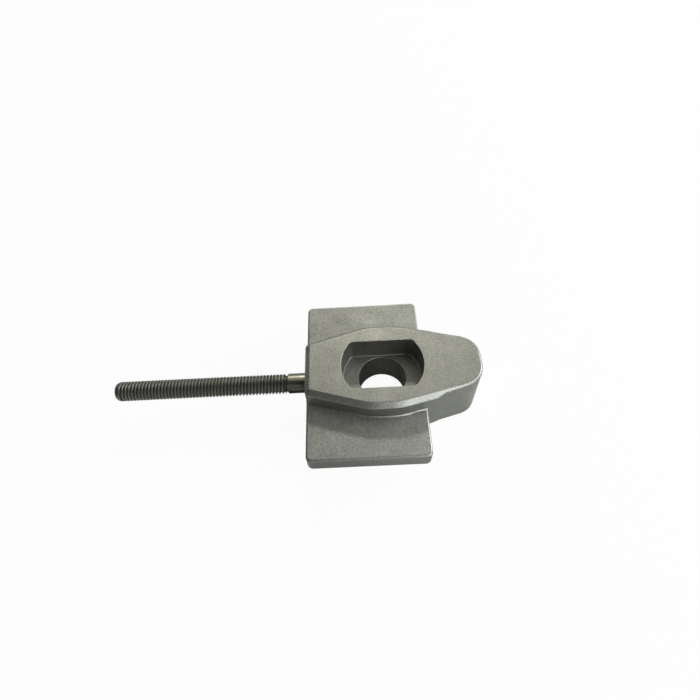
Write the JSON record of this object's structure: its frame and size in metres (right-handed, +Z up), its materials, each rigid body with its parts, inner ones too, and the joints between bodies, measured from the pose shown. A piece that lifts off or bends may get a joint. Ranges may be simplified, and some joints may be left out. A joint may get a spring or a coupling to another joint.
{
  "type": "motorcycle chain adjuster",
  "caption": "Cast axle block with a cross plate, a flat-sided head recess over the axle bore, and a fixed threaded stud that draws the block along a swingarm.",
  "frame": {"origin": "on the axis of the axle bore, in the plane of the block's foot", "axes": "+Z up along the axle bore from the foot to the face with the head recess, +X along the swingarm towards the nose, the stud points to -X, +Y across the plate"},
  "size_m": [0.1083, 0.052, 0.0184],
  "materials": {
    "cast_alloy": "satin",
    "stud_steel": "satin"
  },
  "bodies": {
    "root": {"adjuster_block": "cast_alloy", "threaded_stud": "stud_steel"}
  },
  "joints": []
}
